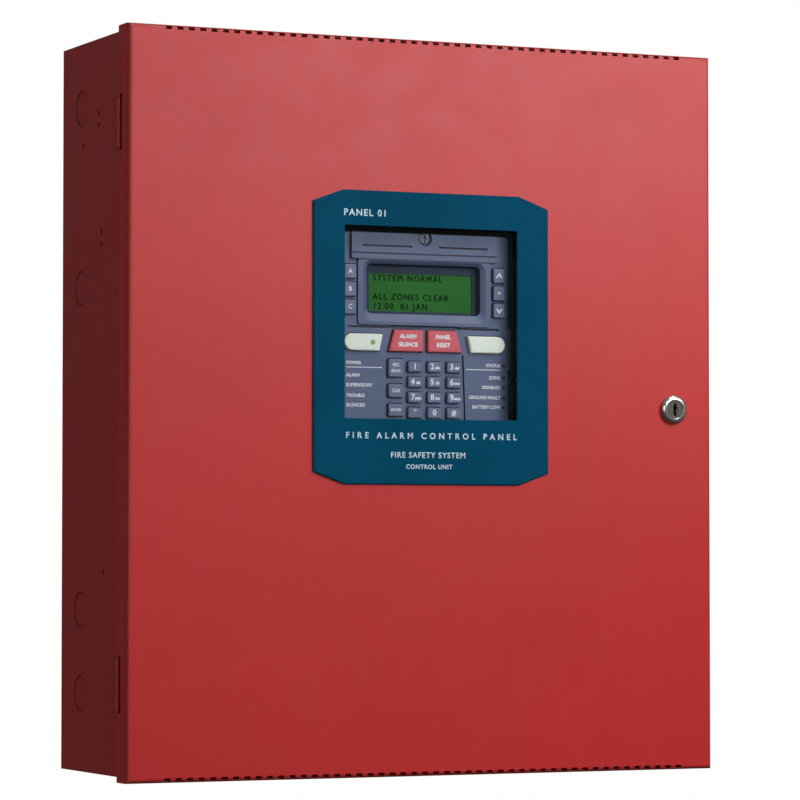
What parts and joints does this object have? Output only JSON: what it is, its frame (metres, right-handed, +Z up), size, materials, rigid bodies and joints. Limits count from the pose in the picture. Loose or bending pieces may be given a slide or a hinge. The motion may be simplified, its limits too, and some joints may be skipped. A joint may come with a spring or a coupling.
{
  "type": "fire alarm control panel",
  "caption": "Wall-mounted fire alarm panel: red sheet-steel backbox, hinged locking door with a framed window over a keypad and display, circuit boards, transformer and standby batteries.",
  "frame": {"origin": "centre of the backbox's rear face, in the wall plane", "axes": "+X to the right seen from the front, +Y into the wall, +Z up"},
  "size_m": [0.4289, 0.1357, 0.4892],
  "materials": {
    "red_paint": "satin powder coat",
    "steel": "plated",
    "zinc_sheet": "zinc plated sheet",
    "standoff_brass": "nickel-brass",
    "circuit_board": "solder mask",
    "terminal_plastic": "moulded",
    "black_plastic": "moulded",
    "capacitor_sleeve": "shrink sleeve",
    "core_lacquer": "varnished laminations",
    "coil_tape": "taped winding",
    "housing_plastic": "fine texture",
    "key_plastic": "fine texture",
    "key_red": "satin",
    "key_white": "satin",
    "display_frame": "black frame",
    "display_glass": "green display",
    "led_lens": "diffused lens",
    "battery_case": "moulded case",
    "terminal_metal": "tinned",
    "wire_insulation": "insulated wire",
    "ribbon_insulation": "grey ribbon",
    "bezel_plastic": "printed blue overlay",
    "window_clear": "clear polycarbonate",
    "lock_chrome": "polished"
  },
  "bodies": {
    "cabinet": {"backbox": "red_paint", "knockout_slugs": "red_paint", "box_hinge_leaves": "red_paint", "hinge_pins": "red_paint", "chassis_plate": "zinc_sheet", "panel_screws": "steel", "board_standoffs": "standoff_brass", "main_board": "circuit_board", "terminal_blocks": "terminal_plastic", "terminal_screws": "steel", "board_chips": "black_plastic", "capacitors": "capacitor_sleeve", "transformer_core": "core_lacquer", "transformer_coil": "coil_tape", "mains_block": "black_plastic", "display_board": "circuit_board", "display_posts": "standoff_brass", "key_switches": "black_plastic", "keypad_housing": "housing_plastic", "lcd_frame": "display_frame", "lcd_glass": "display_glass", "status_leds": "led_lens", "batteries": "battery_case", "battery_terminals": "terminal_metal", "battery_leads": "wire_insulation", "ribbon_cable": "ribbon_insulation"},
    "door": {"door": "red_paint", "door_hinge_leaves": "red_paint", "door_bezel": "bezel_plastic", "window_lens": "window_clear", "lens_fixings": "steel", "lock_body": "lock_chrome", "lock_nut": "steel"},
    "lock": {"lock_plug": "lock_chrome", "lock_cam": "steel"},
    "key_left_top_body": {"key_left_top": "key_plastic"},
    "key_left_middle_body": {"key_left_middle": "key_plastic"},
    "key_left_bottom_body": {"key_left_bottom": "key_plastic"},
    "key_right_top_body": {"key_right_top": "key_plastic"},
    "key_right_middle_body": {"key_right_middle": "key_plastic"},
    "key_right_bottom_body": {"key_right_bottom": "key_plastic"},
    "key_red_left_body": {"key_red_left": "key_red"},
    "key_red_right_body": {"key_red_right": "key_red"},
    "key_white_left_body": {"key_white_left": "key_white"},
    "key_white_right_body": {"key_white_right": "key_white"},
    "key_function_top_body": {"key_function_top": "key_plastic"},
    "key_function_middle_body": {"key_function_middle": "key_plastic"},
    "key_function_bottom_body": {"key_function_bottom": "key_plastic"},
    "key_digit_1_body": {"key_digit_1": "key_plastic"},
    "key_digit_2_body": {"key_digit_2": "key_plastic"},
    "key_digit_3_body": {"key_digit_3": "key_plastic"},
    "key_digit_4_body": {"key_digit_4": "key_plastic"},
    "key_digit_5_body": {"key_digit_5": "key_plastic"},
    "key_digit_6_body": {"key_digit_6": "key_plastic"},
    "key_digit_7_body": {"key_digit_7": "key_plastic"},
    "key_digit_8_body": {"key_digit_8": "key_plastic"},
    "key_digit_9_body": {"key_digit_9": "key_plastic"},
    "key_star_body": {"key_star": "key_plastic"},
    "key_digit_0_body": {"key_digit_0": "key_plastic"},
    "key_hash_body": {"key_hash": "key_plastic"}
  },
  "joints": [
    {"name": "door_hinge", "type": "hinge", "parent": "cabinet", "child": "door", "pos_m": [-0.213, -0.1129, 0], "axis": [0, 0, -1], "range_deg": [0, 175]},
    {"name": "lock_turn", "type": "hinge", "parent": "door", "child": "lock", "pos_m": [0.184, -0.1161, 0.0009], "axis": [0, -1, 0], "range_deg": [0, 90]},
    {"name": "key_left_top_press", "type": "slide", "parent": "cabinet", "child": "key_left_top_body", "axis": [0, 1, 0], "range_m": [0, 0.001], "stiffness_N_per_m": 300},
    {"name": "key_left_middle_press", "type": "slide", "parent": "cabinet", "child": "key_left_middle_body", "axis": [0, 1, 0], "range_m": [0, 0.001], "stiffness_N_per_m": 300},
    {"name": "key_left_bottom_press", "type": "slide", "parent": "cabinet", "child": "key_left_bottom_body", "axis": [0, 1, 0], "range_m": [0, 0.001], "stiffness_N_per_m": 300},
    {"name": "key_right_top_press", "type": "slide", "parent": "cabinet", "child": "key_right_top_body", "axis": [0, 1, 0], "range_m": [0, 0.001], "stiffness_N_per_m": 300},
    {"name": "key_right_middle_press", "type": "slide", "parent": "cabinet", "child": "key_right_middle_body", "axis": [0, 1, 0], "range_m": [0, 0.001], "stiffness_N_per_m": 300},
    {"name": "key_right_bottom_press", "type": "slide", "parent": "cabinet", "child": "key_right_bottom_body", "axis": [0, 1, 0], "range_m": [0, 0.001], "stiffness_N_per_m": 300},
    {"name": "key_red_left_press", "type": "slide", "parent": "cabinet", "child": "key_red_left_body", "axis": [0, 1, 0], "range_m": [0, 0.001], "stiffness_N_per_m": 300},
    {"name": "key_red_right_press", "type": "slide", "parent": "cabinet", "child": "key_red_right_body", "axis": [0, 1, 0], "range_m": [0, 0.001], "stiffness_N_per_m": 300},
    {"name": "key_white_left_press", "type": "slide", "parent": "cabinet", "child": "key_white_left_body", "axis": [0, 1, 0], "range_m": [0, 0.001], "stiffness_N_per_m": 300},
    {"name": "key_white_right_press", "type": "slide", "parent": "cabinet", "child": "key_white_right_body", "axis": [0, 1, 0], "range_m": [0, 0.001], "stiffness_N_per_m": 300},
    {"name": "key_function_top_press", "type": "slide", "parent": "cabinet", "child": "key_function_top_body", "axis": [0, 1, 0], "range_m": [0, 0.001], "stiffness_N_per_m": 300},
    {"name": "key_function_middle_press", "type": "slide", "parent": "cabinet", "child": "key_function_middle_body", "axis": [0, 1, 0], "range_m": [0, 0.001], "stiffness_N_per_m": 300},
    {"name": "key_function_bottom_press", "type": "slide", "parent": "cabinet", "child": "key_function_bottom_body", "axis": [0, 1, 0], "range_m": [0, 0.001], "stiffness_N_per_m": 300},
    {"name": "key_digit_1_press", "type": "slide", "parent": "cabinet", "child": "key_digit_1_body", "axis": [0, 1, 0], "range_m": [0, 0.001], "stiffness_N_per_m": 300},
    {"name": "key_digit_2_press", "type": "slide", "parent": "cabinet", "child": "key_digit_2_body", "axis": [0, 1, 0], "range_m": [0, 0.001], "stiffness_N_per_m": 300},
    {"name": "key_digit_3_press", "type": "slide", "parent": "cabinet", "child": "key_digit_3_body", "axis": [0, 1, 0], "range_m": [0, 0.001], "stiffness_N_per_m": 300},
    {"name": "key_digit_4_press", "type": "slide", "parent": "cabinet", "child": "key_digit_4_body", "axis": [0, 1, 0], "range_m": [0, 0.001], "stiffness_N_per_m": 300},
    {"name": "key_digit_5_press", "type": "slide", "parent": "cabinet", "child": "key_digit_5_body", "axis": [0, 1, 0], "range_m": [0, 0.001], "stiffness_N_per_m": 300},
    {"name": "key_digit_6_press", "type": "slide", "parent": "cabinet", "child": "key_digit_6_body", "axis": [0, 1, 0], "range_m": [0, 0.001], "stiffness_N_per_m": 300},
    {"name": "key_digit_7_press", "type": "slide", "parent": "cabinet", "child": "key_digit_7_body", "axis": [0, 1, 0], "range_m": [0, 0.001], "stiffness_N_per_m": 300},
    {"name": "key_digit_8_press", "type": "slide", "parent": "cabinet", "child": "key_digit_8_body", "axis": [0, 1, 0], "range_m": [0, 0.001], "stiffness_N_per_m": 300},
    {"name": "key_digit_9_press", "type": "slide", "parent": "cabinet", "child": "key_digit_9_body", "axis": [0, 1, 0], "range_m": [0, 0.001], "stiffness_N_per_m": 300},
    {"name": "key_star_press", "type": "slide", "parent": "cabinet", "child": "key_star_body", "axis": [0, 1, 0], "range_m": [0, 0.001], "stiffness_N_per_m": 300},
    {"name": "key_digit_0_press", "type": "slide", "parent": "cabinet", "child": "key_digit_0_body", "axis": [0, 1, 0], "range_m": [0, 0.001], "stiffness_N_per_m": 300},
    {"name": "key_hash_press", "type": "slide", "parent": "cabinet", "child": "key_hash_body", "axis": [0, 1, 0], "range_m": [0, 0.001], "stiffness_N_per_m": 300}
  ]
}
